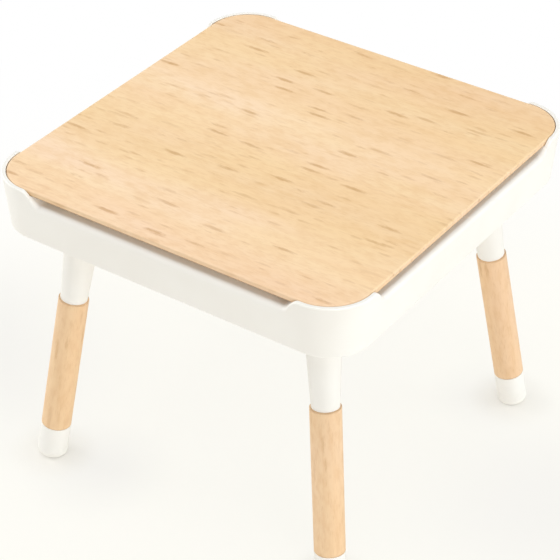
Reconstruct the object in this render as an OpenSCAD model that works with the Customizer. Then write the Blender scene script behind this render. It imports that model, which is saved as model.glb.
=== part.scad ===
// Square children's table with a storage tray under a lift-off wooden lid.
// The tray is one thin-walled moulding. Its four corners rise as lips that hold
// the lid, and between them the rim dips, so that fingers can reach under the
// lid's edge. Each leg is a moulded socket, a turned wooden leg and a foot cap.
// Millimetres, +Z up, origin on the floor under the middle of the table.

/* [Lid] */
// Height of the lid's top above the floor
table_h = 480; // [420:1:560]
// Side of the square lid
lid_side = 560; // [500:1:640]
// Thickness of the lid board
lid_t = 8; // [6:0.5:12]
// Radius of the lid's corners, seen from above
lid_corner_r = 60; // [50:1:80]
// Bevel on the lid's edges
lid_bevel = 0.8; // [0.4:0.1:1.5]

/* [Corner lips] */
// Width of the lip's flat top
lip_w = 6; // [5:0.5:9]
// Gap between the lid's edge and the lip
lid_gap = 1; // [0.6:0.1:2]
// Rounding of the lip's outer top edge
lip_round = 1.5; // [0.8:0.1:2.5]
// Distance along the edge from the lid's square corner to the lip's end
lip_len = 62; // [58:1:100]
// Length of the ramp from the lip's end down to the rim
ramp_run = 27; // [10:1:34]

/* [Finger recess] */
// Drop of the rim between the lips, below the lid's top
rim_drop = 18.5; // [16:0.5:24]
// Depth of the recess in under the lid's edge
grip_depth = 19; // [14:1:26]
// Bevel on the rim's outer edge
rim_bevel = 1.2; // [0.5:0.1:2]

/* [Tray] */
// Wall thickness of the moulding
wall_t = 3; // [2.4:0.1:4]
// Depth of the storage basin below the ledge that carries the lid
basin_depth = 56; // [40:1:80]
// Fillet between the basin's walls and its floor
basin_fillet = 5; // [3:0.5:8]
// Slope of the basin's walls
basin_draft = 2; // [1:0.5:4]
// How far the skirt hangs below the underside of the basin's floor
skirt_drop = 11; // [11:0.5:20]
// Slope of the skirt
skirt_draft = 5.5; // [2:0.5:7]

/* [Stiffening] */
// Thickness of the ribs and webs
rib_t = 1.8; // [1.2:0.1:2.4]
// Height of the ribs under the floor
rib_h = 7; // [4:0.5:9]
// Spacing of the ribs and webs
rib_pitch = 60; // [40:5:90]
// Webs between the basin and the skirt at each corner
corner_webs = 3; // [1:1:5]

/* [Lid pads] */
// Diameter of the soft pads that carry the lid
pad_d = 10; // [8:0.5:14]
// Thickness of a pad
pad_t = 2; // [1.6:0.1:3]
// Height that a pad stands above the ledge
pad_show = 0.5; // [0.3:0.1:1]

/* [Legs] */
// Distance from the lid's edge to the leg's axis at the top of the leg
leg_inset = 89; // [84:1:110]
// Lean of each leg, outwards along the table's diagonal
leg_splay = 10.1; // [6:0.1:12]
// Diameter of the wooden leg
leg_d = 42.5; // [40:0.5:46]
// Bevel on the leg's shoulders
leg_bevel = 1.2; // [0.6:0.1:2]
// Diameter of the tenon at the top of the leg
tenon_d = 30; // [24:1:32]
// Length of the tenon at the top of the leg
tenon_len = 50; // [45:1:70]
// Diameter of the tenon at the bottom of the leg
foot_tenon_d = 28; // [22:1:30]
// Length of the tenon at the bottom of the leg
foot_tenon_len = 34; // [30:1:38]
// Clearance round a tenon
tenon_fit = 0.2; // [0.1:0.05:0.4]
// Clearance at the end of a tenon
tenon_end_gap = 0.5; // [0.3:0.1:1]

/* [Leg sockets] */
// Length of the socket along the leg
socket_len = 143; // [120:1:170]
// Diameter of the socket under the tray
socket_top_d = 53; // [48:1:58]
// Diameter of the socket at the wooden leg
socket_end_d = 38; // [37:0.5:40]
// Wall thickness of the socket's hollow top
socket_wall = 3; // [2.4:0.1:4]
// Thickness of the web above the tenon
socket_web = 6; // [4:0.5:9]
// Diameter of the flange that is screwed to the tray
flange_d = 88; // [84:1:96]
// Thickness of the flange
flange_t = 4; // [3:0.5:6]
// Diameter of the circle of screws
screw_circle_d = 74; // [72:1:78]
// Height of the gussets under the flange
gusset_h = 16; // [10:1:24]

/* [Fasteners] */
// Shank diameter of the socket screws
screw_d = 4.2; // [3.5:0.1:5]
// Length of the socket screws' shank
screw_len = 10; // [9:0.5:11]
// Height of the bosses that take the socket screws
boss_h = 5; // [4:0.5:8]
// Wall round a boss's screw hole
boss_wall = 3.2; // [2.4:0.1:4]
// Shank diameter of the bolt in the top of the leg
bolt_d = 8; // [6:0.5:10]
// Length of that bolt's shank
bolt_len = 40; // [36:1:45]
// Width of that bolt's head across its flats
bolt_flats = 13; // [10:0.5:14]
// Diameter of its washer
washer_d = 22; // [18:1:26]
// Thickness of its washer
washer_t = 1.6; // [1:0.1:2.5]
// Shank diameter of the foot screw
foot_screw_d = 4.5; // [4:0.1:6]
// Length of the foot screw's shank
foot_screw_len = 30; // [25:1:32]
// Radial clearance round a screw or bolt in its hole
screw_fit = 0.1; // [0.05:0.05:0.3]

/* [Feet] */
// Height of the foot cap along the leg, down to the floor
foot_h = 53.5; // [51:0.5:75]
// Diameter of the foot cap
foot_d = 43; // [38:0.5:45]
// Rounding of the foot cap's lower edge
foot_round = 13; // [8:0.5:15]
// Thickness of the web that the foot screw pulls on
foot_web = 5; // [3:0.5:7]
// Diameter of the hollow under that web
foot_hollow_d = 18; // [14:1:19]
// Diameter of the felt glide
glide_d = 23; // [21:0.5:24]
// Thickness of the felt glide
glide_t = 3; // [2.5:0.5:5]
// Height of the foot cap's base above the floor
glide_show = 1.5; // [1:0.1:2]
// Clearance round the glide in its pocket
glide_fit = 0.2; // [0.1:0.05:0.4]

/* [Hidden] */
$fn = 72;
// Overshoot of a cut past the face that it opens
cut = 1;
white = [0.96, 0.95, 0.93];
beech = [0.95, 0.79, 0.62];
steel = [0.72, 0.73, 0.75];
felt = [0.55, 0.54, 0.52];
soft = [0.85, 0.85, 0.84];

// Every outline of the tray and the lid is a rounded square about these four
// corner centres, so a profile's x is its distance outside them.
centre = lid_side / 2 - lid_corner_r;
lip_in = lid_corner_r + lid_gap;
lip_out = lip_in + lip_w;
rib_count = floor((centre - rib_t) / rib_pitch);

// Levels, counted up from the floor
top_z = table_h;
lid_z = top_z - lid_t;
ledge_z = lid_z - pad_show;
rim_z = top_z - rim_drop;
floor_z = ledge_z - basin_depth;
under_z = floor_z - wall_t;
skirt_z = under_z - skirt_drop;
seat_z = under_z - boss_h;

// Widths of the basin, as distances outside the corner centres
grip_in = lid_corner_r - grip_depth;
basin_in = grip_in - wall_t;
basin_low = basin_in - basin_depth * tan(basin_draft);

// Leg geometry: the seat is where the leg's axis meets the flange's top
seat_r = (lid_side / 2 - leg_inset) * sqrt(2);
leg_axis = seat_z / cos(leg_splay);
foot_x = seat_z * tan(leg_splay);
wood_len = leg_axis - socket_len - foot_h;
tenon_hole = tenon_len + tenon_end_gap;
foot_hole = foot_tenon_len + tenon_end_gap;
web_z = tenon_hole - socket_len;
socket_slope = (socket_top_d - socket_end_d) / 2 / socket_len;
foot_top = -socket_len - wood_len;
foot_web_z = foot_top - foot_hole;

// Fastener heads
screw_head_d = screw_d * 1.9;
screw_head_h = screw_d * 0.6;
bolt_head_h = bolt_d * 0.65;
foot_head_d = foot_screw_d * 1.9;
foot_head_h = foot_screw_d * 0.6;

// A point at angle a on a circle of radius r about (x, y)
function around(x, y, r, a) = [x + r * cos(a), y + r * sin(a)];

// Distance of the skirt's outer face outside the corner centres, at height z
function skirt_out(z) = lip_out - (top_z - z) * tan(skirt_draft);

// Carry a profile once round the rounded square
module carry_round() {
    for (i = [0:3]) rotate(90 * i) translate([centre, centre, 0]) {
        rotate_extrude(angle = 90) children();
        rotate([90, 0, 0]) linear_extrude(2 * centre) children();
    }
}

// The same, with the middle filled between two heights
module carry_filled(z0, z1) {
    carry_round() children();
    translate([-centre, -centre, z0]) cube([2 * centre, 2 * centre, z1 - z0]);
}

// ---- Tray ----

// Outside of the moulding: drafted skirt and the lip's rounded top edge
module tray_outside() {
    turn = 90 - skirt_draft;
    round_x = lip_out - lip_round * (1 + sin(skirt_draft)) / cos(skirt_draft);
    arc = [for (i = [0:4]) around(round_x, top_z - lip_round, lip_round, 90 - turn * i / 4)];
    carry_filled(skirt_z, top_z) polygon(concat(
        [[0, skirt_z], [0, top_z]], arc, [[skirt_out(skirt_z), skirt_z]]
    ));
}

// Room for the lid, and below its ledge the storage basin
module tray_inside() {
    lean = 90 - basin_draft;
    fillet_x = basin_low - basin_fillet * (1 - sin(basin_draft)) / cos(basin_draft);
    arc = [for (i = [0:4])
        around(fillet_x, floor_z + basin_fillet, basin_fillet, -90 + lean * i / 4)];
    carry_filled(floor_z, top_z + cut) polygon(concat(
        [[0, floor_z]], arc,
        [[basin_in, ledge_z], [lip_in, ledge_z], [lip_in, top_z + cut], [0, top_z + cut]]
    ));
}

// Hollow under the moulding, open downwards, one wall away from every outer face
module tray_underside() {
    hollow_z = ledge_z - wall_t;
    skin = wall_t / cos(skirt_draft);
    carry_filled(skirt_z - cut, under_z) polygon([
        [0, under_z], [basin_low + wall_t, under_z], [grip_in, hollow_z],
        [skirt_out(hollow_z) - skin, hollow_z],
        [skirt_out(skirt_z - cut) - skin, skirt_z - cut], [0, skirt_z - cut]
    ]);
}

// The finger recess on one side: an S-shaped ramp at each end of a level rim.
// grow thickens it, to leave a wall round it in the hollow underside.
module finger_recess(grow = 0) {
    far = lid_side / 2 - lip_len + grow;
    ramp = [for (i = [0:8]) [far - ramp_run * i / 8, top_z - grow - rim_drop * (1 - cos(180 * i / 8)) / 2]];
    back = centre + grip_in - grow;
    translate([0, centre + lip_out + cut, 0]) rotate([90, 0, 0])
        linear_extrude(centre + lip_out + cut - back)
            polygon(concat(
                [[-far, top_z + cut]],
                [for (p = ramp) [-p[0], p[1]]],
                [for (i = [8:-1:0]) ramp[i]],
                [[far, top_z + cut]]
            ));
}

// Bevel along the rim's outer edge, between the feet of the two ramps
module rim_edge_cut() {
    far = lid_side / 2 - lip_len - ramp_run;
    edge = centre + skirt_out(rim_z);
    translate([-far, 0, 0]) rotate([90, 0, 90]) linear_extrude(2 * far)
        polygon([
            [edge - rim_bevel, rim_z + cut], [edge - rim_bevel, rim_z],
            [edge + cut, rim_z - rim_bevel - cut], [edge + cut, rim_z + cut]
        ]);
}

// Webs that tie the skirt to the basin's wall
module skirt_webs() {
    reach = lip_out - basin_low;
    for (i = [0:3]) rotate(90 * i) {
        for (k = [-rib_count:rib_count])
            translate([k * rib_pitch - rib_t / 2, centre + basin_low, under_z])
                cube([rib_t, reach, top_z - under_z]);
        for (k = [1:corner_webs])
            translate([centre, centre, under_z]) rotate(90 * k / (corner_webs + 1))
                translate([basin_low, -rib_t / 2, 0])
                    cube([reach, rib_t, top_z - under_z]);
    }
}

// Ribs under the floor, kept clear of the leg flanges
module floor_ribs() {
    side = centre + basin_low;
    difference() {
        for (turn = [0, 90]) rotate(turn) for (k = [-rib_count:rib_count])
            translate([k * rib_pitch - rib_t / 2, -side, under_z - rib_h])
                cube([rib_t, 2 * side, rib_h]);
        for (i = [0:3]) at_seat(i)
            translate([0, 0, -skirt_drop]) cylinder(h = 2 * skirt_drop, d = flange_d + 2 * wall_t);
    }
}

module screw_bosses() {
    for (i = [0:3]) at_seat(i) at_screws()
        cylinder(h = boss_h, r = screw_d / 2 + screw_fit + boss_wall);
}

module tray() {
    color(white) difference() {
        tray_outside();
        tray_inside();
        difference() {
            tray_underside();
            for (i = [0:3]) rotate(90 * i) finger_recess(wall_t);
            skirt_webs();
            floor_ribs();
            screw_bosses();
        }
        for (i = [0:3]) rotate(90 * i) {
            finger_recess();
            rim_edge_cut();
        }
        for (i = [0:3]) at_seat(i) at_screws() translate([0, 0, -cut])
            cylinder(h = cut + screw_len - flange_t + tenon_end_gap, r = screw_d / 2 + screw_fit);
        at_pads() translate([0, 0, pad_show - pad_t]) cylinder(h = pad_t, d = pad_d);
    }
}

// ---- Lid ----

module lid_panel() {
    color(beech) carry_filled(lid_z, top_z) polygon([
        [0, lid_z], [lid_corner_r - lid_bevel, lid_z],
        [lid_corner_r, lid_z + lid_bevel], [lid_corner_r, top_z - lid_bevel],
        [lid_corner_r - lid_bevel, top_z], [0, top_z]
    ]);
}

// Two pads on each corner ledge, halfway between the lip and the basin
module at_pads() {
    pad_r = (lip_in + basin_in) / 2;
    for (i = [0:3]) rotate(90 * i) translate([centre, centre, ledge_z])
        for (a = [22.5, 67.5]) translate([pad_r * cos(a), pad_r * sin(a), 0]) children();
}

module lid_pads() {
    color(soft) at_pads() translate([0, 0, pad_show - pad_t]) cylinder(h = pad_t, d = pad_d);
}

// ---- Leg frames ----

// Upright frame at the seat of leg i, with +X pointing outwards
module at_seat(i) {
    rotate(45 + 90 * i) translate([seat_r, 0, seat_z]) children();
}

// Frame along the leg: the axis runs down from the seat along -Z
module along_leg() {
    rotate([0, -leg_splay, 0]) children();
}

module at_screws() {
    for (k = [0:3]) rotate(90 * k) translate([screw_circle_d / 2, 0, 0]) children();
}

// ---- Leg socket ----

module socket_cone(start, length, inset) {
    low = socket_end_d / 2 - inset + (start + socket_len) * socket_slope;
    translate([0, 0, start]) cylinder(h = length, r1 = low, r2 = low + length * socket_slope);
}

module socket_gussets() {
    for (k = [0:3]) rotate(45 + 90 * k) translate([0, rib_t / 2, 0]) rotate([90, 0, 0])
        linear_extrude(rib_t) polygon([
            [socket_end_d / 2, -flange_t / 2], [flange_d / 2 - cut, -flange_t / 2],
            [socket_end_d / 2, -flange_t - gusset_h]
        ]);
}

module leg_socket(i) {
    over = flange_d * sin(leg_splay);
    color(white) at_seat(i) difference() {
        union() {
            difference() {
                along_leg() socket_cone(-socket_len, socket_len + over, 0);
                translate([-flange_d, -flange_d, 0]) cube([2 * flange_d, 2 * flange_d, 2 * over]);
            }
            translate([0, 0, -flange_t]) cylinder(h = flange_t, d = flange_d);
            socket_gussets();
        }
        along_leg() {
            socket_cone(web_z + socket_web, socket_len + over, socket_wall);
            translate([0, 0, -socket_len - cut])
                cylinder(h = tenon_hole + cut, r = tenon_d / 2 + tenon_fit);
            translate([0, 0, web_z - cut])
                cylinder(h = socket_web + 2 * cut, r = bolt_d / 2 + tenon_fit);
        }
        at_screws() translate([0, 0, -flange_t - cut])
            cylinder(h = flange_t + 2 * cut, r = screw_d / 2 + tenon_fit);
    }
}

// ---- Wooden leg ----

module wooden_leg(i) {
    color(beech) at_seat(i) along_leg() difference() {
        union() {
            translate([0, 0, foot_top]) rotate_extrude() polygon([
                [0, 0], [leg_d / 2 - leg_bevel, 0], [leg_d / 2, leg_bevel],
                [leg_d / 2, wood_len - leg_bevel], [leg_d / 2 - leg_bevel, wood_len], [0, wood_len]
            ]);
            translate([0, 0, -socket_len - cut]) cylinder(h = tenon_len + cut, d = tenon_d);
            translate([0, 0, foot_top - foot_tenon_len])
                cylinder(h = foot_tenon_len + cut, d = foot_tenon_d);
        }
        translate([0, 0, web_z + socket_web + washer_t - bolt_len - tenon_end_gap])
            cylinder(h = bolt_len, r = bolt_d / 2 + screw_fit);
        translate([0, 0, foot_top - foot_tenon_len - cut])
            cylinder(h = cut + foot_screw_len - foot_web, r = foot_screw_d / 2 + screw_fit);
    }
}

// ---- Foot ----

module foot_outline() {
    r = foot_d / 2;
    translate([r - foot_round, foot_round]) circle(foot_round);
    translate([0, foot_round]) square([r, foot_h - foot_round]);
    square([r - foot_round, 2 * foot_round]);
}

module foot_cap(i) {
    color(white) at_seat(i) difference() {
        along_leg() difference() {
            translate([0, 0, foot_top - foot_h]) rotate_extrude() intersection() {
                foot_outline();
                square([foot_d, foot_h]);
            }
            translate([0, 0, foot_top - foot_hole])
                cylinder(h = foot_hole + cut, r = foot_tenon_d / 2 + tenon_fit);
            translate([0, 0, foot_web_z - foot_web - cut])
                cylinder(h = foot_web + 2 * cut, r = foot_screw_d / 2 + tenon_fit);
            translate([0, 0, foot_top - foot_h - foot_d])
                cylinder(h = foot_h + foot_d - foot_hole - foot_web, d = foot_hollow_d);
        }
        translate([foot_x - foot_d, -foot_d, -seat_z - foot_d])
            cube([2 * foot_d, 2 * foot_d, foot_d + glide_show]);
        translate([foot_x, 0, -seat_z - cut])
            cylinder(h = glide_t + cut, r = glide_d / 2 + glide_fit);
    }
}

module felt_glide(i) {
    color(felt) at_seat(i) translate([foot_x, 0, -seat_z]) cylinder(h = glide_t, d = glide_d);
}

// ---- Fasteners ----

module socket_screws() {
    color(steel) for (i = [0:3]) at_seat(i) at_screws() {
        translate([0, 0, -flange_t - screw_head_h]) cylinder(h = screw_head_h, d = screw_head_d);
        translate([0, 0, -flange_t - cut]) cylinder(h = screw_len + cut, d = screw_d);
    }
}

module leg_bolts() {
    color(steel) for (i = [0:3]) at_seat(i) along_leg()
        translate([0, 0, web_z + socket_web + washer_t]) {
            cylinder(h = bolt_head_h, r = bolt_flats / sqrt(3), $fn = 6);
            translate([0, 0, -bolt_len]) cylinder(h = bolt_len + cut, d = bolt_d);
        }
}

module leg_washers() {
    color(steel) for (i = [0:3]) at_seat(i) along_leg()
        translate([0, 0, web_z + socket_web]) difference() {
            cylinder(h = washer_t, d = washer_d);
            translate([0, 0, -cut]) cylinder(h = washer_t + 2 * cut, r = bolt_d / 2 + tenon_fit);
        }
}

module foot_screws() {
    color(steel) for (i = [0:3]) at_seat(i) along_leg() translate([0, 0, foot_web_z - foot_web]) {
        translate([0, 0, -foot_head_h]) cylinder(h = foot_head_h, d = foot_head_d);
        translate([0, 0, -cut]) cylinder(h = foot_screw_len + cut, d = foot_screw_d);
    }
}

// ---- Named pieces ----

module socket_back_right() { leg_socket(0); }
module socket_back_left() { leg_socket(1); }
module socket_front_left() { leg_socket(2); }
module socket_front_right() { leg_socket(3); }
module leg_back_right() { wooden_leg(0); }
module leg_back_left() { wooden_leg(1); }
module leg_front_left() { wooden_leg(2); }
module leg_front_right() { wooden_leg(3); }
module foot_back_right() { foot_cap(0); }
module foot_back_left() { foot_cap(1); }
module foot_front_left() { foot_cap(2); }
module foot_front_right() { foot_cap(3); }
module glide_back_right() { felt_glide(0); }
module glide_back_left() { felt_glide(1); }
module glide_front_left() { felt_glide(2); }
module glide_front_right() { felt_glide(3); }

tray();
lid_panel();
lid_pads();
socket_back_right();
socket_back_left();
socket_front_left();
socket_front_right();
leg_back_right();
leg_back_left();
leg_front_left();
leg_front_right();
foot_back_right();
foot_back_left();
foot_front_left();
foot_front_right();
glide_back_right();
glide_back_left();
glide_front_left();
glide_front_right();
socket_screws();
leg_bolts();
leg_washers();
foot_screws();
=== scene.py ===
# %% [markdown]
# A square children's table: a thin-walled white tray with a lift-off beech lid,
# on four splayed legs. The CAD model gives every size, so this script loads it
# first and builds the looks round it.

# %% The fixed frame
import math

import bpy
import numpy as np
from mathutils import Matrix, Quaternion, Vector


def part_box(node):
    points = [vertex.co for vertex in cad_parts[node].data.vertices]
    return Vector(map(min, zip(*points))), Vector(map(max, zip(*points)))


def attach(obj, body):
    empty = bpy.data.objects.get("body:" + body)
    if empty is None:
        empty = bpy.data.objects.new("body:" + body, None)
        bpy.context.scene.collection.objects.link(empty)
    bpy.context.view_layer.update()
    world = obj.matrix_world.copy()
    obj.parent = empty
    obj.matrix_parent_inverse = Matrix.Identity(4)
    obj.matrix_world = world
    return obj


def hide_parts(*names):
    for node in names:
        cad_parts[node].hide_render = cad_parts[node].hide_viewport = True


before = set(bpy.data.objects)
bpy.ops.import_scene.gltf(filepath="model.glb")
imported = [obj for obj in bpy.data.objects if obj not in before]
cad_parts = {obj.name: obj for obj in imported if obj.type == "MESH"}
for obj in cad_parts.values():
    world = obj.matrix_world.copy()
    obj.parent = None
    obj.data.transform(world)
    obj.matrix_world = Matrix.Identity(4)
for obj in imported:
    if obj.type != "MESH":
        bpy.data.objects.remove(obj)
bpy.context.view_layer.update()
print("CAD nodes:", len(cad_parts))

# %% [markdown]
# The photograph looks down on the table from its front right. A long lens, 2.6
# metres from the lid, gives its flat perspective. The place was worked out from
# the lid's edges and the legs, so it is written as numbers. The picture is a
# third of a degree out of level, so the camera is rolled by as much. The view
# transform is Standard, so a colour shows as it is written.

# %% The camera
def add_camera(place, aim, focal_length, roll):
    """A camera at place that looks at aim, turned by roll degrees about its own axis."""
    data = bpy.data.cameras.new("photo_camera")
    data.lens = focal_length
    data.sensor_width = 36
    data.clip_start = 0.05
    camera = bpy.data.objects.new("photo_camera", data)
    camera.location = place
    look = (Vector(aim) - Vector(place)).to_track_quat("-Z", "Y")
    camera.rotation_euler = (look @ Quaternion((0, 0, 1), math.radians(roll))).to_euler()
    bpy.context.scene.collection.objects.link(camera)
    return camera


camera = add_camera(place=(1.39380, -1.98431, 1.98060), aim=(0.17360, -0.25862, 0.47972),
                    focal_length=136.93, roll=-0.341)
bpy.context.scene.camera = camera
bpy.context.scene.view_settings.view_transform = "Standard"
print("camera", round(camera.location.length, 3), "m from the floor's origin")

# %% [markdown]
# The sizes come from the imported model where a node's box gives them, and are
# named here in millimetres where it doesn't. Every outline of the lid and the
# tray is a rounded square about the same four corner centres, so a profile
# needs only a distance outside those centres and a height. Typing every size
# anew would also work, but copies drift away from the model they came from.

# %% Sizes
mm = 0.001
lid_low, lid_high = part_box("lid_panel")
top_z, lid_z, skirt_z = lid_high.z, lid_low.z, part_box("tray")[0].z
corner_r, lid_gap, lip_thick, pad_z = 60 * mm, 1 * mm, 6 * mm, 0.5 * mm
centre = lid_high.x - corner_r
lip_in, lip_out = corner_r + lid_gap, corner_r + lid_gap + lip_thick
grip_in, basin_in = 41 * mm, 38 * mm
wall, basin_deep = 3 * mm, 56 * mm
basin_draft, skirt_draft = math.radians(2), math.radians(5.5)
ledge_z = lid_z - pad_z
floor_z = ledge_z - basin_deep
under_z = floor_z - wall
basin_low = basin_in - basin_deep * math.tan(basin_draft)
skirt_slope, skirt_wall = math.tan(skirt_draft), wall / math.cos(skirt_draft)
rim_drop, lip_end, ramp_run = 18.5 * mm, 218 * mm, 27 * mm
quarter_turn = math.pi / 2
print("lid", round(lid_high.x * 2, 4), "m square, tray floor at", round(floor_z, 4))

# %% [markdown]
# Nearly every piece here is a profile carried along a path: a grid of points
# with one column per step along the path and one row per step along the
# profile. One helper turns such grids into a mesh. Columns run anticlockwise
# and rows run up the outside, so every face points outwards. Blender's own
# cubes and cylinders would be quicker to write, but on a grid every edge can
# have its own rounding and its own mask for wear and painted highlight.

# %% From grids to a mesh
def grid_faces(columns, rows, start):
    """Quads between neighbouring grid points: column by column, and the last column is
    joined back to the first."""
    c = np.arange(columns)[:, None]
    r = np.arange(rows - 1)[None, :]
    c2, r2 = (c + 1) % columns, r + 1
    corners = (c * rows + r, c2 * rows + r, c2 * rows + r2, c * rows + r2)
    return np.stack([k + start for k in np.broadcast_arrays(*corners)], -1).reshape(-1, 4)


def make_piece(name, grids, rubbed=None, smooth_below=math.radians(35)):
    """Joins grids of points (columns, rows, 3) into one mesh. A grid's first and last
    rows are closed with flat caps. The third argument, an edge mask, holds for each
    grid a number from 0 to 1 per point, high on eased edges: the lid takes it as
    paler wear, the legs as darker end grain and the white mouldings as a painted
    highlight. Faces that meet at less than smooth_below are shaded as one surface."""
    points, faces, wear_and_highlight, start = [], [], [], 0
    for index, grid in enumerate(grids):
        columns, rows = grid.shape[:2]
        points.append(grid.reshape(-1, 3))
        faces += grid_faces(columns, rows, start).tolist()
        first = start + np.arange(columns) * rows
        faces += [first[::-1].tolist(), (first + rows - 1).tolist()]
        given = 0.0 if rubbed is None else rubbed[index]
        wear_and_highlight.append(np.broadcast_to(given, (columns, rows)).ravel())
        start += columns * rows
    mesh = bpy.data.meshes.new(name)
    mesh.from_pydata(np.concatenate(points).tolist(), [], faces)
    mesh.attributes.new("rubbed", "FLOAT", "POINT").data.foreach_set(
        "value", np.concatenate(wear_and_highlight).astype(np.float32))
    mesh.shade_smooth()
    mesh.set_sharp_from_angle(angle=smooth_below)
    piece = bpy.data.objects.new(name, mesh)
    bpy.context.scene.collection.objects.link(piece)
    even = piece.modifiers.new("even_shading", "WEIGHTED_NORMAL")
    even.keep_sharp = True
    return piece


def seat_piece(piece, material, body, slot, *nodes):
    """Gives a piece its finish and its body, and lets it stand for CAD nodes."""
    piece.data.materials.append(material)
    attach(piece, body)
    if nodes:
        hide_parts(*nodes)
    print(piece.name, len(piece.data.polygons), "faces")


# %% [markdown]
# A moulding has no sharp edges, and a sanded board has none either. Each corner
# of a profile is therefore replaced by a true circular arc. The arc is a
# rational curve through the two points where a circle of the wanted radius
# touches the corner's sides, which works for all columns at once and also where
# the corner's angle changes from column to column. A Bevel modifier would make
# one width everywhere, while an arc here can grow along an edge.

# %% Rounding a profile
most_of_side = 0.45
guard_gap, guard_share = 0.8 * mm, 0.04


def rounded(corners, radii, steps=5):
    """corners (columns, k, 2) become rows of points. Each inner corner turns into an
    arc whose touching points lie radius / tan(half the corner's angle) away from it,
    and never more than most_of_side of the shorter side. The middle weight of the
    rational quadratic is the sine of half the angle, which makes the curve a circle.
    A guard row close by on either side of each arc keeps the edge mask, with its wear
    and painted highlight, from spreading over the flats. Also returns, per row, 1 on
    an arc and 0 elsewhere."""
    t = np.linspace(0, 1, steps + 1)[None, :, None]
    rows, on_arc = [corners[:, :1]], [0]
    for k, radius in enumerate(radii, start=1):
        tip = corners[:, k]
        back, ahead = corners[:, k - 1] - tip, corners[:, k + 1] - tip
        back_len = np.linalg.norm(back, axis=1, keepdims=True) + 1e-9
        ahead_len = np.linalg.norm(ahead, axis=1, keepdims=True) + 1e-9
        back, ahead = back / back_len, ahead / ahead_len
        half = np.arccos(np.clip((back * ahead).sum(1, keepdims=True), -1, 1)) / 2
        reach = np.minimum(radius / np.tan(half), most_of_side * np.minimum(back_len, ahead_len))
        a, b = (tip + back * reach)[:, None], (tip + ahead * reach)[:, None]
        weight = np.sin(half)[:, None]
        top = a * (1 - t) ** 2 + 2 * weight * t * (1 - t) * tip[:, None] + b * t ** 2
        arc = top / ((1 - t) ** 2 + 2 * weight * t * (1 - t) + t ** 2)
        before = a + (back * np.minimum(guard_gap, guard_share * back_len))[:, None]
        after = b + (ahead * np.minimum(guard_gap, guard_share * ahead_len))[:, None]
        rows += [before, arc, after]
        on_arc += [0] + [1] * (steps + 1) + [0]
    rows.append(corners[:, -1:])
    return np.concatenate(rows, 1), np.array(on_arc + [0], float)


def carried(base, normal, profile):
    """Puts a profile on a path: each point is the column's base point, plus its
    outward direction times the profile's first number, at the second number's height."""
    flat = base[:, None] + normal[:, None] * profile[..., :1]
    return np.concatenate([flat, profile[..., 1:]], -1)


# %% [markdown]
# The path is the rounded square: a side along X = centre, then a quarter turn
# about the corner centre, four times. The middle of each side needs few
# columns. The ramps, where the lips drop to the rim, need many, and one close
# pair where the rim crosses the ledge's level, because the step behind the rim
# jumps there from the lid's edge to the back of the finger recess.

# %% The rounded square path
def rim_height(along):
    """Height of the tray's rim at a distance from the middle of its side: the lip's
    level beyond the ramp, the rim's level before it, and half a cosine wave between."""
    t = np.clip((lip_end - np.abs(along)) / ramp_run, 0, 1)
    return top_z - rim_drop * (1 - np.cos(math.pi * t)) / 2


def square_path(side_steps, corner_steps):
    """Base point, outward direction and distance from the side's middle, for each
    column once round the square. Columns of a corner count as the side's end."""
    angle = np.linspace(0, quarter_turn, corner_steps + 1)[:-1]
    base = np.concatenate([
        np.stack([np.full_like(side_steps, centre), side_steps], -1),
        np.full((corner_steps, 2), centre)])
    normal = np.concatenate([
        np.broadcast_to([1.0, 0.0], (len(side_steps), 2)),
        np.stack([np.cos(angle), np.sin(angle)], -1)])
    along = np.concatenate([side_steps, np.full(corner_steps, centre)])
    turns = [np.array([[math.cos(a), math.sin(a)], [-math.sin(a), math.cos(a)]])
             for a in np.arange(4) * quarter_turn]
    return (np.concatenate([base @ turn for turn in turns]),
            np.concatenate([normal @ turn for turn in turns]), np.tile(along, 4))


corner_steps, close_by = 32, 0.05 * mm
level_t = np.arccos(1 - 2 * (top_z - ledge_z) / rim_drop) / math.pi
crossing = lip_end - ramp_run * level_t
middle_part = np.linspace(0, 188 * mm, 8)
ramp_part = np.linspace(189.5 * mm, 219.5 * mm, 49)
half_side = np.sort(np.concatenate([
    middle_part, ramp_part, [crossing - close_by, crossing + close_by]]))
side_steps = np.concatenate([[-centre], -half_side[:0:-1], half_side])
print("columns round the tray:", 4 * (len(side_steps) + corner_steps))

# %% [markdown]
# The tray is one thin moulding: skirt, lips, ramps, finger recesses, the ledge
# that carries the lid, and the storage basin. Boxes and cuts would do, as in
# the CAD model, but one profile whose points move with the rim's height keeps
# every fillet running unbroken down the ramps, as a mould does. The rim's outer
# edge grows rounder towards the middle of a recess, where fingers reach in.

# %% The storage tray
def skirt_out(z):
    """How far outside a corner centre the skirt's outer face lies at a height."""
    return lip_out - (top_z - z) * skirt_slope


def wall_back(z):
    """The same for the back of the basin's wall, which leans out from the floor's
    edge at the bottom to the back of the finger recess under the ledge."""
    lean = (z - under_z) / (ledge_z - wall - under_z)
    return (basin_low + wall) * (1 - lean) + grip_in * lean


def tray_profile(along, inmost=20 * mm):
    """The moulding's section for each column: from under the basin's floor out to the
    skirt, up its outside, over the rim, down its step to the ledge and into the basin.
    It starts and ends inmost outside the corner centres, where caps close the floor."""
    rim = rim_height(along)
    hollow = np.minimum(ledge_z - wall, rim_height(np.abs(along) - wall) - wall)
    step = np.where(rim > ledge_z, lip_in, grip_in)
    same = np.ones_like(along)
    outline = [
        (inmost, under_z), (basin_low + wall, under_z), (wall_back(hollow), hollow),
        (skirt_out(hollow) - skirt_wall, hollow), (skirt_out(skirt_z) - skirt_wall, skirt_z),
        (skirt_out(skirt_z), skirt_z), (skirt_out(rim), rim), (step, rim), (step, ledge_z),
        (basin_in, ledge_z), (basin_low, floor_z), (inmost, floor_z)]
    return np.stack([np.stack([x * same, z * same], -1) for x, z in outline], 1)


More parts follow.
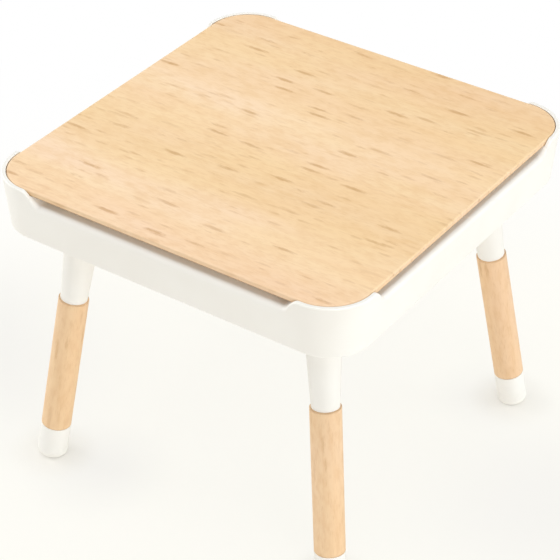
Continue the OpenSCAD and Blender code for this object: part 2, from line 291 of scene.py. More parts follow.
base, normal, along = square_path(side_steps, corner_steps)
dip = (top_z - rim_height(along)) / rim_drop
lip_edge, recess_edge = 1.5 * mm, 7.5 * mm
rim_edge = (lip_edge + (recess_edge - lip_edge) * dip)[:, None]
section, on_arc = rounded(tray_profile(along), [
    1.5 * mm, 2 * mm, 2 * mm,  # the floor's edge underneath, then the hollow's two corners
    0.7 * mm, 0.9 * mm,  # the skirt's lower edges, inside and outside
    rim_edge, 0.7 * mm,  # the rim's outer and inner edge
    0.6 * mm, 0.9 * mm, 5 * mm])  # the step's foot, the basin's mouth and its floor
tray_grid = carried(base, normal, section)
# The edge mask fades out towards the rim of the finger recesses, so the painted highlight stays on
# the lips and the ramps.
storage_tray = make_piece("storage_tray", [tray_grid], [on_arc * (1 - dip)[:, None]])
print("tray grid", tray_grid.shape)

# %% [markdown]
# Underneath, thin ribs stiffen the floor and webs tie the skirt to the basin.
# They are a piece of their own, because they would break the tray's profile.
# Each is a flat plate with a slight taper, as a mould needs to let go of it.
# Joining them by Boolean cuts would leave a mesh to repair, and sinking their
# ends a little into the walls looks the same.

# %% Ribs, webs and bosses under the tray
def plate(edge_points, across, half_thick, taper=0.25 * mm):
    """A plate between two copies of a four-point edge, half_thick to each side along
    across. The edge's first two points are the free edge and are thinner by the taper."""
    edge = np.asarray(edge_points, float)
    thick = half_thick - np.array([taper, taper, 0, 0])
    low, high = (edge + np.asarray(across) * (s * thick)[:, None] for s in (-1, 1))
    return np.stack([low, high], 1)


def upright(x0, x1, z0, z1, y):
    """A four-point edge in a plane Y = y: from x0 to x1 at z0, back at z1."""
    return [(x0, y, z0), (x1, y, z0), (x1, y, z1), (x0, y, z1)]


def turned_about_z(grid, angle):
    """A grid of points turned about the table's middle."""
    c, s = math.cos(angle), math.sin(angle)
    return grid @ np.array([[c, s, 0], [-s, c, 0], [0, 0, 1]])


rib_half, rib_deep, sink, pitch = 0.9 * mm, 7 * mm, 0.4 * mm, 60 * mm
seat_inset, seat_clear = 89 * mm, 47 * mm
rib_z, seat_xy = under_z - rib_deep, lid_high.x - seat_inset
side_reach = centre + basin_low
pitches = np.arange(-3, 4) * pitch
ribs = []
for place in pitches:
    miss = seat_clear ** 2 - (abs(place) - seat_xy) ** 2
    half_gap = math.sqrt(miss) if miss > 0 else 0
    spans = [(-side_reach, side_reach)] if not half_gap else [
        (-side_reach, -seat_xy - half_gap), (half_gap - seat_xy, seat_xy - half_gap),
        (seat_xy + half_gap, side_reach)]
    for x0, x1 in spans:
        rib = plate(upright(x0, x1, rib_z, under_z + sink, place), (0, 1, 0), rib_half)
        ribs += [rib, turned_about_z(rib, quarter_turn)]
print("floor ribs:", len(ribs))


def web_edge(hollow):
    """Section of a web as distances outside the corner centres: it fills the hollow
    between the basin's wall and the skirt, and sinks a little into both."""
    low, high = (skirt_out(z) - skirt_wall + sink for z in (under_z, hollow))
    return np.array([(basin_low + wall - sink, under_z), (low, under_z),
                     (high, hollow + sink), (wall_back(hollow) - sink, hollow + sink)])


webs = []
for quarter in range(4):
    for place in pitches:
        r, z = web_edge(float(min(ledge_z - wall, rim_height(abs(place) - wall) - wall))).T
        edge = np.stack([centre + r, np.full(4, place), z], -1)
        webs.append(turned_about_z(plate(edge, (0, 1, 0), rib_half), quarter * quarter_turn))
    for angle in np.radians([22.5, 45, 67.5]):
        r, z = web_edge(ledge_z - wall).T
        edge = np.stack([centre + r * math.cos(angle), centre + r * math.sin(angle), z], -1)
        across = (-math.sin(angle), math.cos(angle), 0)
        webs.append(turned_about_z(plate(edge, across, rib_half), quarter * quarter_turn))
print("webs:", len(webs))

# %% [markdown]
# Legs, sockets, feet, bosses and screws are all round. A round piece is a
# profile of radius and height turned about an axis. Each leg has a seat on the
# tray's underside, and leans outwards from it along the table's diagonal, so
# the pieces of a leg are made once in the leg's own frame and then stood up in
# their four places. The Spin tool would turn them too, but leaves a seam.

# %% Turning, and the four leg places
splay, diagonal, seat_deep, screw_reach = math.radians(10.1), math.pi / 4, 5 * mm, 37 * mm
seat_z = under_z - seat_deep
leg_names = ["back_right", "back_left", "front_left", "front_right"]


def turned(profile, columns=72):
    """Points on circles: each profile row is a radius and a height about the Z axis."""
    angle = np.arange(columns) * 2 * math.pi / columns
    r, z = profile[:, 0], profile[:, 1]
    return np.stack([np.cos(angle)[:, None] * r, np.sin(angle)[:, None] * r,
                     np.broadcast_to(z, (columns, len(z)))], -1)


def soft_profile(corners, radii, steps=5):
    """A single profile, in millimetres, with rounded corners, and which of its rows
    lie on an arc. The rows that come back are in metres."""
    rows, arc = rounded(np.array([corners], float) * mm, np.array(radii) * mm, steps)
    return rows[0], arc


def leaning(points):
    """The leg's own frame tilted by the splay: the axis runs down and outwards (+X)."""
    c, s = math.cos(splay), math.sin(splay)
    return points @ np.array([[c, 0, s], [0, 1, 0], [-s, 0, c]])


def at_seat(points, leg):
    """Points of an upright frame at the seat, with +X outwards, put at leg number leg."""
    moved = points + np.array([seat_xy * math.sqrt(2), 0, seat_z])
    return turned_about_z(moved, diagonal + leg * quarter_turn)


screw_spots = [turned_about_z(np.array([[screw_reach, 0, 0]]), k * quarter_turn)[0]
               for k in range(4)]
boss_rows, _ = soft_profile([(0.5, -0.2), (5.4, -0.2), (5.4, 5), (9, 5.4)], [0.4, 1.5], 3)
bosses = [at_seat(turned(boss_rows, 32) + spot, leg)
          for leg in range(4) for spot in screw_spots]
tray_stiffening = make_piece("tray_stiffening", ribs + webs + bosses)
foot_x = seat_z * math.tan(splay)
print("seat", round(seat_xy, 4), round(seat_z, 4), "foot", round(foot_x, 4), "further out")

# %% [markdown]
# The lid is one board with its lower edge just broken by sanding and its upper
# edge a little rounder. A box with a bevel would do, but the same path and
# profile helpers make true arcs. It rides on the lid body, so it lifts off alone.

# %% The lid
lid_base, lid_normal, _ = square_path(np.linspace(-centre, centre, 9), 40)
lid_inmost, lid_out, lower_edge, upper_edge = 10, corner_r / mm, 0.9, 2.2
lid_rows, lid_arc = soft_profile(
    [(lid_inmost, lid_z / mm), (lid_out, lid_z / mm), (lid_out, top_z / mm),
     (lid_inmost, top_z / mm)], [lower_edge, upper_edge])
lid_section = np.broadcast_to(lid_rows, (len(lid_base), *lid_rows.shape))
lid_grid = carried(lid_base, lid_normal, lid_section)
lid_board = make_piece(
    "lid_board", [lid_grid], [np.broadcast_to(lid_arc, lid_grid.shape[:2])])
print("lid grid", lid_grid.shape)

# %% [markdown]
# Under the lid, two small soft discs on each corner ledge keep it from
# rattling. They show only with the lid off, as low discs with a soft rim. They
# could be bevelled cylinders, but the turning helper is at hand.

# %% Lid pads
pad_rows, _ = soft_profile([(0.4, -1.5), (5, -1.5), (5, 0.5), (0.4, 0.5)], [0.1, 0.4], 4)
pads, ledge_r = [], (lip_in + basin_in) / 2
for quarter in range(4):
    for angle in np.radians([22.5, 67.5]):
        spot = np.array([centre + ledge_r * math.cos(angle), centre + ledge_r * math.sin(angle),
                         ledge_z])
        pads.append(turned_about_z(turned(pad_rows, 40) + spot, quarter * quarter_turn))
soft_pads = make_piece("soft_pads", pads)
print("pads:", len(pads))

# %% [markdown]
# A socket is a tapered sleeve that leans, under a flange that lies flat on the
# tray. The sleeve's upper rows are slid along its surface until they lie level,
# and the last few flare out, which gives the fillet that a moulding has there.
# A cone pushed into a disc would be simpler, but would meet it in a hard seam.

# %% Leg sockets
socket_len, socket_end, socket_top = 143 * mm, 19 * mm, 26.5 * mm
flange_r, flange_t, gusset_h = 44 * mm, 4 * mm, 16 * mm
socket_low, end_r, flange_out, flange_low = (
    v / mm for v in (-socket_len, socket_end, flange_r, -flange_t))


def sleeve(columns=72, flare=4 * mm):
    """The sleeve's radius grows evenly up the leg. A level row at height z meets the
    cone at s = (z - r0 cos(a) sin(splay)) / (cos(splay) + k cos(a) sin(splay)), where
    r0 is the radius at the seat and k the taper. The flare adds a quarter circle."""
    a = np.arange(columns)[:, None] * 2 * math.pi / columns
    k = (socket_top - socket_end) / socket_len
    rows, arc = soft_profile(
        [(12, socket_low), (end_r, socket_low), (end_r + 0.1, socket_low + 2)], [0.7], 4)
    low_r = np.broadcast_to(rows[:, 0], (columns, len(rows)))
    low_s = np.broadcast_to(rows[:, 1], (columns, len(rows)))
    drop = np.concatenate([np.linspace(100 * mm, 2 * flare, 6), np.linspace(flare, 0, 7), [0]])
    level = -flange_t - drop
    level[-1] = -flange_t / 2
    s = (level - socket_top * np.cos(a) * math.sin(splay)) / (
        math.cos(splay) + k * np.cos(a) * math.sin(splay))
    near = np.clip(flare - drop, 0, flare)
    out = flare - np.sqrt(flare ** 2 - near ** 2)
    r = socket_top + k * s + out
    r, s = np.concatenate([low_r, r], 1), np.concatenate([low_s, s], 1)
    wear_and_highlight = np.concatenate([arc, np.zeros(len(drop))])
    return leaning(np.stack([r * np.cos(a), r * np.sin(a), s], -1)), wear_and_highlight


def gusset(angle):
    """A triangular plate under the flange, from the sleeve out to the flange's edge."""
    r0, r1 = socket_end - 1 * mm, flange_r - 2 * mm
    edge = np.array([(r0, -flange_t - gusset_h), (r1, -flange_t - 0.2 * mm),
                     (r1, -flange_t + sink), (r0, -flange_t + sink)])
    out, z = edge.T
    points = np.stack([out * math.cos(angle), out * math.sin(angle), z], -1)
    return plate(points, (-math.sin(angle), math.cos(angle), 0), rib_half, 0.15 * mm)


flange_rows, flange_arc = soft_profile(
    [(10, flange_low), (flange_out, flange_low), (flange_out, 0), (10, 0)], [1.0, 0.5], 4)
sleeve_grid, sleeve_highlight = sleeve()
print("sleeve grid", sleeve_grid.shape)

# %% [markdown]
# The wooden leg is a plain turning between two plastic ends, a little fatter
# than both, with its shoulders just eased. Its foot is a moulded cap with a
# round nose, cut level a millimetre and a half above the floor, and the felt
# disc under it carries the table. Cones with a bevel would do for the wood, but
# the nose needs a true arc, so all three are turned from profiles.

# %% Turned legs, foot caps and felt discs
leg_r, foot_r, foot_len, felt_r, felt_thick = 21.25, 21.5, 53.5, 11.5, 3
low_tenon, high_tenon, tenon_end, foot_clear = 13.9, 14.9, -98, 1.5 * mm
foot_top = foot_len - seat_z / math.cos(splay) / mm
leg_rows, leg_arc = soft_profile(
    [(low_tenon, foot_top - 30), (low_tenon, foot_top), (leg_r, foot_top),
     (leg_r, socket_low), (high_tenon, socket_low), (high_tenon, tenon_end)],
    [0.1, 1.3, 1.3, 0.1], 5)
leg_local = turned(leg_rows, 80)

foot_rows, foot_arc = soft_profile(
    [(2, foot_top - foot_len), (foot_r, foot_top - foot_len), (foot_r, foot_top),
     (12, foot_top)], [13, 0.7], 12)
foot_grid = leaning(turned(foot_rows, 80))
foot_grid[..., 2] = np.maximum(foot_grid[..., 2], -seat_z + foot_clear)
felt_rows, _ = soft_profile(
    [(0.5, 0), (felt_r, 0), (felt_r, felt_thick), (0.5, felt_thick)], [0.5, 0.5], 4)
felt_grid = turned(felt_rows, 64) + np.array([foot_x, 0, -seat_z])
print("leg rows", len(leg_rows), "foot rows", len(foot_rows))

# %% [markdown]
# Sixteen pan-head screws hold the sockets. A low dome with a cross-shaped dip
# is a function of two parameters: the ring's radius and the angle round it. Cut
# crosses would be sharper, but these heads face the floor and are seldom seen.

# %% Socket screws
def pan_head(columns=48, radius=4, height=2.5, slot_half=0.55, slot_reach=2.1, slot_deep=1.1):
    """A low dome that points down, with a cross recess: the surface drops by slot_deep
    where one coordinate is within slot_half and the other within slot_reach. All
    lengths are in millimetres."""
    edge, _ = soft_profile([(radius, 0.4), (radius, -height), (0.2, -height)], [1.5], 5)
    ring = np.linspace(3.2, 0.1, 14) * mm
    rim_rows = edge[:-1][edge[:-1, 0] > 3.25 * mm]
    flat_rows = np.stack([ring, np.full_like(ring, -height * mm)], -1)
    grid = turned(np.concatenate([rim_rows, flat_rows])[::-1], columns)
    x, y = np.abs(grid[..., 0]), np.abs(grid[..., 1])
    slot = (np.minimum(x, y) < slot_half * mm) & (np.maximum(x, y) < slot_reach * mm)
    grid[..., 2] += np.where(slot, slot_deep * mm, 0)
    return grid


screw_heads = [at_seat(pan_head() + spot - np.array([0, 0, flange_t]), leg)
               for leg in range(4) for spot in screw_spots]
screw_set = make_piece("screw_set", screw_heads)
print("screws:", len(screw_heads))

# %% [markdown]
# Finishes are node trees. Writing them as sums keeps them readable: a small
# class wraps a socket, its operators add Math or Vector Math nodes, and one
# method makes any other node from its settings and inputs. Drawing the same
# trees by hand in the editor works too, but hides how the numbers belong
# together.

# %% Shader sums
class Wire:
    """An output socket that can be used in sums. Numbers go through Math nodes and
    vectors through Vector Math nodes."""

    def __init__(self, finish, socket):
        self.finish, self.socket = finish, socket

    def _join(self, operation, left, right):
        vector = any(isinstance(v, tuple) or getattr(v, "is_vector", False) for v in (left, right))
        kind = "ShaderNodeVectorMath" if vector else "ShaderNodeMath"
        return self.finish.node(kind, {"operation": operation}, {0: left, 1: right})

    @property
    def is_vector(self):
        return self.socket.type == "VECTOR"

    def __add__(self, other):
        return self._join("ADD", self, other)

    def __sub__(self, other):
        return self._join("SUBTRACT", self, other)

    def __rsub__(self, other):
        return self._join("SUBTRACT", other, self)

    def __mul__(self, other):
        return self._join("MULTIPLY", self, other)

    def __truediv__(self, other):
        return self._join("DIVIDE", self, other)

    def __rtruediv__(self, other):
        return self._join("DIVIDE", other, self)

    __radd__, __rmul__ = __add__, __mul__


class Finish:
    """A material or world under construction."""

    def __init__(self, block):
        block.use_nodes = True
        self.block, self.tree = block, block.node_tree
        self.tree.nodes.clear()

    def node(self, kind, settings=None, inputs=None, output=0):
        """Any node: its settings are set first, then each input gets a value or a link."""
        made = self.tree.nodes.new(kind)
        for key, value in (settings or {}).items():
            setattr(made, key, value)
        for key, value in (inputs or {}).items():
            socket = made.inputs[key]
            if isinstance(value, Wire):
                self.tree.links.new(value.socket, socket)
            elif socket.type in ("VECTOR", "RGBA") and isinstance(value, (int, float)):
                socket.default_value = [value] * len(socket.default_value)
            else:
                socket.default_value = value
        return Wire(self, made.outputs[output]) if made.outputs else made

    def noise(self, at, detail=2.0, rough=0.5):
        """Soft noise from 0 to 1 whose lumps are about one unit of at across."""
        return self.node("ShaderNodeTexNoise", None,
                         {"Vector": at, "Scale": 1, "Detail": detail, "Roughness": rough})

    def cells(self, at, output="Distance"):
        """Cells about one unit of at across: the distance from a cell's centre, or its colour."""
        return self.node("ShaderNodeTexVoronoi", None,
                         {"Vector": at, "Scale": 1, "Randomness": 1}, output)

    def part(self, vector, axis):
        """One coordinate of a vector."""
        return self.node("ShaderNodeSeparateXYZ", None, {0: vector}, axis)

    def length(self, vector):
        """The length of a vector."""
        return self.node("ShaderNodeVectorMath", {"operation": "LENGTH"}, {0: vector}, "Value")

    def step(self, value, low, high, start=0.0, end=1.0):
        """Eases from start to end while value goes from low to high."""
        return self.node("ShaderNodeMapRange", {"interpolation_type": "SMOOTHSTEP"},
                         {0: value, 1: low, 2: high, 3: start, 4: end})

    def blend(self, share, first, second, kind="MIX"):
        """Mixes two colours by a share from 0 to 1."""
        return self.node("ShaderNodeMix", {"data_type": "RGBA", "blend_type": kind},
                         {0: share, 6: first, 7: second}, 2)

    def tinted(self, colour, tint):
        """A colour times a tint, channel by channel."""
        return self.blend(1.0, colour, tint, "MULTIPLY")

    def bands(self, value, stops):
        """A colour ramp over value, from 0 to 1. stops are pairs of a place and a colour."""
        made = self.node("ShaderNodeValToRGB", None, {0: value})
        ramp = made.socket.node.color_ramp
        ramp.interpolation = "EASE"
        while len(ramp.elements) < len(stops):
            ramp.elements.new(1.0)
        for element, (place, colour) in zip(ramp.elements, stops):
            element.position, element.color = place, colour
        return made

    def object_at(self):
        """The point in the table's own frame, in metres."""
        return self.node("ShaderNodeTexCoord", None, None, "Object")

    def rubbed(self):
        """The edge mask that the pieces carry as an attribute: paler wear on the lid, darker end
        grain on the legs, a painted highlight on the white mouldings.
        """
        return self.node("ShaderNodeAttribute", {"attribute_name": "rubbed"}, None, "Fac")

    def surface(self, height=None, lift=0.0002, strength=1.0, **sockets):
        """Ends the tree with a Principled surface. height, if given, becomes a bump."""
        values = {key.replace("_", " ").title().replace("Ior", "IOR"): value
                  for key, value in sockets.items()}
        if height is not None:
            values["Normal"] = self.node("ShaderNodeBump", None, {
                "Strength": strength, "Distance": lift, "Height": height}, "Normal")
        shader = self.node("ShaderNodeBsdfPrincipled", None, values)
        self.node("ShaderNodeOutputMaterial", None, {"Surface": shader})
        return self.block


def paint(red, green, blue):
    """A colour as it shows on screen, from 0 to 255, as Blender's linear light."""
    c = np.array([red, green, blue]) / 255
    linear = np.where(c > 0.04045, ((c + 0.055) / 1.055) ** 2.4, c / 12.92)
    return (*linear.tolist(), 1.0)


print("a pale beech is", [round(c, 3) for c in paint(248, 215, 173)])

# %% [markdown]
# Beech is pale and even, with two marks that tell it from other woods: short
# dark dashes along the grain, where rays are cut across, and a fine streaking
# between them. A solid texture suits it, because the board's top, its edges and
# the round legs are all cuts through the same block. Voronoi cells stretched
# along the grain give the dashes: a point is in a dash where it lies near a
# cell's centre. The first coordinate always runs along the grain.

# %% Beech
def beech(finish, at, shade, edge, edge_share, marks):
    """Mixes a pale ground, broad pinkish and yellowish bands, fine streaks, small
    flecks and two sizes of ray dash, as strong as marks says, and bumps the surface
    along the grain. A scale (a, b, b) makes lumps 1/a metres long and 1/b wide. Eased
    edges take the colour edge by edge_share. shade multiplies the whole."""
    wander = finish.noise(at * (5.0, 22.0, 22.0), 2) - 0.5
    sway = finish.node("ShaderNodeCombineXYZ", None, {1: wander * 0.008, 2: wander * 0.005})
    grain = at + sway
    ragged = finish.noise(grain * (130.0, 520.0, 520.0), 3, 0.6) - 0.5

    def dashes(scale, widest, sharpest, rarest):
        """Marks near the centres of stretched cells, ragged at the edge, each cell with
        its own strength."""
        near = finish.cells(grain * scale) + ragged * 0.32
        chance = finish.node("ShaderNodeSeparateColor", None,
                             {0: finish.cells(grain * scale, "Color")}, "Red")
        return finish.step(near, widest, sharpest) * finish.step(chance, rarest, 0.8, 0.3, 1.0)

    dash = dashes((12.0, 68.0, 68.0), 0.30, 0.07, 0.0)
    short = dashes((20.0, 98.0, 98.0), 0.30, 0.07, 0.1)
    fleck = finish.step(finish.cells(grain * (62.0, 430.0, 430.0)) + ragged * 0.2, 0.40, 0.12)
    streak = finish.noise(grain * (15.0, 170.0, 170.0), 3, 0.65)
    mottle = finish.noise(grain * (46.0, 105.0, 105.0), 3, 0.6)
    band = finish.noise(grain * (2.2, 30.0, 30.0), 2)
    broad = finish.noise(at * (4.0, 13.0, 13.0), 1)

    tone = finish.blend(finish.step(broad, 0.3, 0.7), paint(255, 226, 195), paint(255, 227, 186))
    tone = finish.blend(finish.step(band, 0.25, 0.75, 0.0, 0.5), tone, paint(252, 216, 172))
    tone = finish.blend(finish.step(mottle, 0.38, 0.72, 0.0, 0.62), tone, paint(244, 208, 164))
    tone = finish.blend(finish.step(streak, 0.42, 0.78, 0.0, 0.36), tone, paint(240, 203, 156))
    tone = finish.blend(fleck * 0.2, tone, paint(222, 181, 134))
    tone = finish.blend(short * (0.36 * marks), tone, paint(206, 162, 112))
    tone = finish.blend(dash * (0.62 * marks), tone, paint(202, 158, 108))
    tone = finish.blend(finish.rubbed() * edge_share, tone, edge)
    tone = finish.tinted(tone, shade)
    height = (streak + mottle) * -0.3 - (dash + short) * 0.6 - fleck * 0.3
    return finish.surface(
        height, 0.00012, 0.5, base_color=tone,
        roughness=finish.step(streak + dash, 0.2, 1.2, 0.50, 0.64), specular_ior_level=0.35)


# %% [markdown]
# The board is joined from staves, so broad bands of slightly different tone run
# along its grain: rosier at the front, yellower and a little darker at the back
# and towards the right. Painted shade makes its sides darker than its face, a
# painted shadow runs as a thin brown line along their lower end, under the lid's
# edge, and painted shade makes its underside darker and redder. A colour ramp over
# Y gives the bands. The rest are masks from the height and from the way that the
# surface faces, so the board stays one mesh with one material.

# %% The lid's finish
lid_finish = Finish(bpy.data.materials.new("beech_lid"))
lid_at = lid_finish.object_at()
half_lid = 0.28
wavy = lid_finish.part(lid_at, "Y") + (
    lid_finish.noise(lid_at * (2.0, 9.0, 9.0), 2) - 0.5) * 0.07
palest = np.array(paint(251, 219, 180))
bands = lid_finish.bands(wavy / (2 * half_lid) + 0.5, [
    (place, np.array(paint(*tone)) / palest) for place, tone in (
        (0.0, (249, 213, 176)), (0.14, (251, 218, 180)), (0.33, (246, 212, 167)),
        (0.50, (249, 215, 173)), (0.60, (251, 219, 179)), (0.70, (248, 214, 171)),
        (0.82, (247, 213, 169)), (0.97, (244, 207, 163)))])
rightwards = lid_finish.step(lid_finish.part(lid_at, "X"), -half_lid, half_lid)
face_tone = lid_finish.tinted(bands, lid_finish.blend(
    rightwards, (1.0, 1.0, 1.0, 1.0), (0.98, 0.967, 0.93, 1.0)))
facing = lid_finish.part(lid_finish.node("ShaderNodeTexCoord", None, None, "Normal"), "Z")
# Painted shadow: a thin dark brown line along the lower end of the lid's sides, under its edge.
line_from, line_full = top_z - 6.4 * mm, top_z - 7.2 * mm
low_end = lid_finish.step(lid_finish.part(lid_at, "Z"), line_from, line_full)
painted_shadow_line = low_end * lid_finish.step(facing, -0.95, -0.75)
# Painted shade: the upright sides are darker than the face.
painted_side_and_under_shade = lid_finish.blend(painted_shadow_line, (0.89, 0.86, 0.85, 1.0), (0.46, 0.36, 0.27, 1.0))
# Painted shade: the underside is darker and redder than the face.
downwards = lid_finish.step(facing, -0.75, -0.95)
painted_side_and_under_shade = lid_finish.blend(downwards, painted_side_and_under_shade, (0.74, 0.67, 0.60, 1.0))
lid_shade = lid_finish.blend(lid_finish.step(facing, 0.2, 0.7), painted_side_and_under_shade, face_tone)
beech_lid = beech(lid_finish, lid_at, lid_shade, paint(254, 228, 194), 0.25, 1.0)
seat_piece(lid_board, beech_lid, "lid", "lid_beech", "lid_panel")

# %% [markdown]
# A turned leg is cut from its own billet with the grain along it. In plain
# Object coordinates the grain would run out of a leaning leg. Its points
# therefore carry their place in the leg's own frame as an attribute, with a
# different shift for each leg, so that no two legs show the same figure.

# %% Beech for the legs
leg_finish = Finish(bpy.data.materials.new("beech_leg"))
leg_grain = leg_finish.node("ShaderNodeAttribute", {"attribute_name": "grain_at"}, None, "Vector")
# Painted shade: the legs' beech is darker than the lid's, for the weaker light on their upright
# faces.
leg_painted_shade, billet_shift = (0.915, 0.862, 0.83, 1.0), np.array([0.9, 0.37, 0.61])
beech_leg = beech(leg_finish, leg_grain, leg_painted_shade, paint(205, 164, 122), 0.3, 0.55)
for leg, name in enumerate(leg_names):
    turned_leg = make_piece(
        "turned_leg_" + name, [at_seat(leaning(leg_local), leg)],
        [np.broadcast_to(leg_arc, leg_local.shape[:2])])
    billet = leg_local[..., [2, 0, 1]].reshape(-1, 3) + billet_shift * (leg + 1)
    turned_leg.data.attributes.new("grain_at", "FLOAT_VECTOR", "POINT").data.foreach_set(
        "vector", billet.astype(np.float32).ravel())
    seat_piece(turned_leg, beech_leg, "frame", "leg_beech", "leg_" + name)

# %% [markdown]
# The tray and sockets are satin white plastic from a spark-textured mould: a
# very fine stipple, a hint of warm drift in the colour, and edges that use has
# worn a little smoother. A painted highlight also whitens their rounded edges
# and the lips' tops. A picture of plastic would show its repeats on such
# even walls, so noise of three sizes gives all of it.

# %% White mouldings
def moulded_white(name, colour, drift_colour, scuffs):
    """Satin plastic: broad drift between two whites, a fine stipple as bump and in the
    gloss, a painted highlight along the edge mask, and scuffs, from 0 to 1, that grey
    it in soft smears near the floor."""
    finish = Finish(bpy.data.materials.new(name))
    at = finish.object_at()
    stipple = finish.noise(at * (2600.0, 2600.0, 2600.0), 2, 0.6)
    drift = finish.noise(at * (9.0, 9.0, 9.0), 2)
    smear = finish.noise(at * (48.0, 48.0, 48.0), 3, 0.6)
    tone = finish.blend(finish.step(drift, 0.3, 0.7), colour, drift_colour)
    tone = finish.blend(finish.step(stipple, 0.3, 0.75, 0.0, 0.05), tone, paint(196, 193, 186))
    # Painted highlight: the edge mask whitens the rounded edges and the lips' tops.
    tone = finish.blend(finish.rubbed() * 0.7, tone, paint(255, 253, 247))
    low = finish.step(finish.part(at, "Z"), 0.05, 0.0)
    tone = finish.blend(low * finish.step(smear, 0.48, 0.75) * scuffs, tone, paint(168, 160, 150))
    gloss = finish.step(smear, 0.3, 0.7, 0.36, 0.43) + (stipple - 0.5) * 0.06
    return finish.surface(
        stipple, 0.00004, 0.35, base_color=tone,
        roughness=gloss - finish.rubbed() * 0.08, ior=1.49)


white_moulding = moulded_white("white_moulding", paint(249, 247, 242), paint(246, 243, 237), 0.0)
# Painted light: the feet's white is brighter than the tray's, for the light that they miss under
# the table.
foot_white_painted_light = moulded_white("foot_white_painted_light", paint(252, 251, 247), paint(250, 248, 243), 0.12)
seat_piece(storage_tray, white_moulding, "frame", "white_plastic", "tray")
seat_piece(tray_stiffening, white_moulding, "frame", "white_plastic")
for leg, name in enumerate(leg_names):
    parts = [at_seat(sleeve_grid, leg), at_seat(turned(flange_rows), leg)]
    parts += [at_seat(gusset(diagonal + k * quarter_turn), leg) for k in range(4)]
    wear_and_highlight = [np.broadcast_to(sleeve_highlight, sleeve_grid.shape[:2]), flange_arc[None]] + [0.0] * 4
    seat_piece(make_piece("leg_sleeve_" + name, parts, wear_and_highlight),
               white_moulding, "frame", "white_plastic", "socket_" + name)
    seat_piece(make_piece("foot_cap_" + name, [at_seat(foot_grid, leg)], [foot_arc[None]]),
               foot_white_painted_light, "frame", "foot_plastic", "foot_" + name)

# %% [markdown]
# The small parts get real finishes too. Felt is a mat of short fibres, the pads
# are a soft pale rubber, and the screws are zinc plated, which shows as faint
# patches in the gloss. Real fibres would cost far more than they show, so fine
# noise stands for them.

# %% Felt, rubber and zinc
felt = Finish(bpy.data.materials.new("grey_felt"))
fibre = felt.noise(felt.object_at() * (1500.0, 1500.0, 900.0), 4, 0.7)
clump = felt.noise(felt.object_at() * (260.0, 260.0, 260.0), 2)
grey_felt = felt.surface(
    fibre + clump * 0.5, 0.0003, 0.8, roughness=felt.step(fibre, 0.3, 0.7, 0.88, 0.98),
    base_color=felt.blend(felt.step(fibre, 0.3, 0.7), paint(120, 117, 112), paint(165, 161, 154)),
    sheen_weight=0.3)
for leg, name in enumerate(leg_names):
    seat_piece(make_piece("felt_disc_" + name, [at_seat(felt_grid, leg)]),
               grey_felt, "frame", "grey_felt", "glide_" + name)

rubber = Finish(bpy.data.materials.new("soft_rubber"))
bloom = rubber.noise(rubber.object_at() * (420.0, 420.0, 420.0), 3)
soft_rubber = rubber.surface(
    bloom, 0.00005, 0.4, roughness=rubber.step(bloom, 0.3, 0.7, 0.55, 0.68),
    base_color=rubber.blend(bloom, paint(214, 213, 209), paint(226, 225, 221)))
seat_piece(soft_pads, soft_rubber, "frame", "soft_rubber", "lid_pads")

zinc = Finish(bpy.data.materials.new("zinc_steel"))
spangle = zinc.cells(zinc.object_at() * (900.0, 900.0, 900.0))
brushed = zinc.noise(zinc.object_at() * (3000.0, 3000.0, 600.0), 2)
zinc_steel = zinc.surface(
    brushed, 0.00002, 0.4, metallic=1.0, roughness=zinc.step(spangle, 0.1, 0.8, 0.28, 0.42),
    base_color=zinc.blend(spangle, paint(205, 206, 209), paint(222, 222, 222)))
seat_piece(screw_set, zinc_steel, "frame", "zinc_steel", "socket_screws")
for name in ("leg_bolts", "leg_washers", "foot_screws"):
    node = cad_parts[name]
    node.data.materials.clear()
    node.data.materials.append(zinc_steel)
print("materials:", len(bpy.data.materials))

# %% [markdown]
# The photograph's floor is a pale studio sweep. A large flat plane stands for
# it. The camera sees a mixture of lit paper and a plain glow: mostly glow under
# the table, as in the photograph, more paper round the feet, where their
# shadows show, and all glow far away, so that there is no horizon. Painted
# shadows grey the glow in two wide patches, left and right of the table, and in
# two small ones, beside the front left foot and the back right one. Seen from
# below, the plane is clear.

# %% Floor
floor_mesh, far_off = bpy.data.meshes.new("studio_floor"), 40
floor_mesh.from_pydata([(x * far_off, y * far_off, 0) for x, y in
                        ((-1, -1), (1, -1), (1, 1), (-1, 1))], [], [(0, 1, 2, 3)])
studio_floor = bpy.data.objects.new("studio_floor", floor_mesh)
bpy.context.scene.collection.objects.link(studio_floor)

ground = Finish(bpy.data.materials.new("studio_paper"))
spot = ground.object_at()
far = ground.length(spot)
seen = ground.node("ShaderNodeLightPath", None, None, "Is Camera Ray")
tooth = ground.noise(spot * (900.0, 900.0, 900.0), 2)
paper = ground.node("ShaderNodeBsdfPrincipled", None, {
    "Base Color": ground.blend(tooth * 0.2, paint(251, 248, 242), paint(248, 245, 239)),
    "Roughness": 0.8, "Specular IOR Level": 0.2})
cream = ground.blend(ground.step(far, 0.45, 1.0), (1.0, 0.99, 0.935, 1), (1, 1, 1, 1))
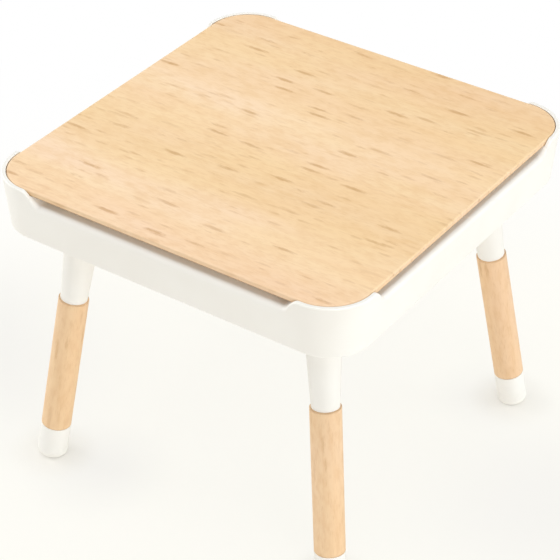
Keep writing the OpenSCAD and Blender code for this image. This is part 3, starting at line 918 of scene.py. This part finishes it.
# Painted shadows: soft grey patches on the floor's glow, each darkening it by its tint within its
# reach.
painted_shadows = [  # middle, reach in metres, tint
    ((-0.52, -0.14, 0.0), 0.36, (0.905, 0.905, 0.925, 1)),
    ((0.43, 0.06, 0.0), 0.29, (0.92, 0.92, 0.94, 1)),
    ((-0.165, -0.235, 0.0), 0.13, (0.935, 0.935, 0.95, 1)),
    ((0.205, 0.22, 0.0), 0.10, (0.95, 0.95, 0.96, 1))]
for middle, reach, tint in painted_shadows:
    inside = ground.step(ground.length(spot - middle), reach, 0.0)
    cream = ground.blend(inside, cream, ground.tinted(cream, tint))
white_out = ground.node("ShaderNodeEmission", None, {"Color": cream, "Strength": 1.0})
foot_at = seat_xy + foot_x * math.sqrt(0.5)
corner_at = ground.node("ShaderNodeVectorMath", {"operation": "ABSOLUTE"}, {0: spot})
from_foot = ground.length(corner_at - (foot_at, foot_at, 0.0))
glow = ground.step(from_foot, 0.018, 0.075, 0.34, 0.87) + ground.step(far, 0.5, 1.2, 0.0, 0.13)
sweep = ground.node("ShaderNodeMixShader", None, {0: seen * glow, 1: paper, 2: white_out})
below = ground.node("ShaderNodeNewGeometry", None, None, "Backfacing")
clear_below = ground.node("ShaderNodeMixShader", None, {
    0: below, 1: sweep, 2: ground.node("ShaderNodeBsdfTransparent")})
ground.node("ShaderNodeOutputMaterial", None, {"Surface": clear_below})
floor_mesh.materials.append(ground.block)
print("floor patches:", len(painted_shadows), "feet", round(foot_at, 4), "m off the middle")

# %% [markdown]
# The light is that of a pale tent: most of it comes evenly from the world. Two
# large lamps far off to the right make the right apron and the right half of
# each round leg the brightest, a lamp overhead lights the lid, and two more on
# the left keep the long front apron even. The world's strength counts only for
# light on the object, because the camera, and mirrors and glass, see plain
# white there. A picture of a studio could light it too, but lamps can be set
# one by one until each face has its tone.

# %% Light
world = bpy.data.worlds.new("studio")
bpy.context.scene.world = world
sky = Finish(world)
rays = sky.tree.nodes.new("ShaderNodeLightPath")
is_seen = [Wire(sky, rays.outputs[k]) for k in
           ("Is Camera Ray", "Is Glossy Ray", "Is Transmission Ray")]
shown = sky.node("ShaderNodeMath", {"operation": "MINIMUM"},
                 {0: is_seen[0] + is_seen[1] + is_seen[2], 1: 1.0})
fill_light = {"Color": (0.99, 1.0, 0.98, 1), "Strength": 0.49}
plain_white = {"Color": (1, 1, 1, 1), "Strength": 1.0}
fill, white_back = (
    sky.node("ShaderNodeBackground", None, inputs) for inputs in (fill_light, plain_white))
sky.node("ShaderNodeOutputWorld", None, {
    "Surface": sky.node("ShaderNodeMixShader", None, {0: shown, 1: fill, 2: white_back})})


def soft_box(name, place, aim, size, watts, colour=(1, 1, 1)):
    """A square lamp that faces aim."""
    data = bpy.data.lights.new(name, "AREA")
    data.shape, data.size, data.energy, data.color = "SQUARE", size, watts, colour
    lamp = bpy.data.objects.new(name, data)
    lamp.location = place
    lamp.rotation_euler = (Vector(aim) - Vector(place)).to_track_quat("-Z", "Y").to_euler()
    bpy.context.scene.collection.objects.link(lamp)


soft_box("right_back_box", (4.5, 3.1, 1.6), (0, 0, 0.2), 2.0, 58, (0.9, 0.97, 1.0))
soft_box("right_front_box", (4.6, -3.0, 1.6), (0, 0, 0.2), 2.0, 88)
soft_box("left_far_box", (-5.4, -1.0, 1.6), (0, 0, 0.2), 2.0, 67)
soft_box("left_low_box", (-2.7, -0.6, 0.7), (0, 0, 0.25), 1.6, 13)
soft_box("top_box", (0, 0, 6), (0, 0, 0.35), 3.5, 123)
print("lamps:", len(bpy.data.lights))
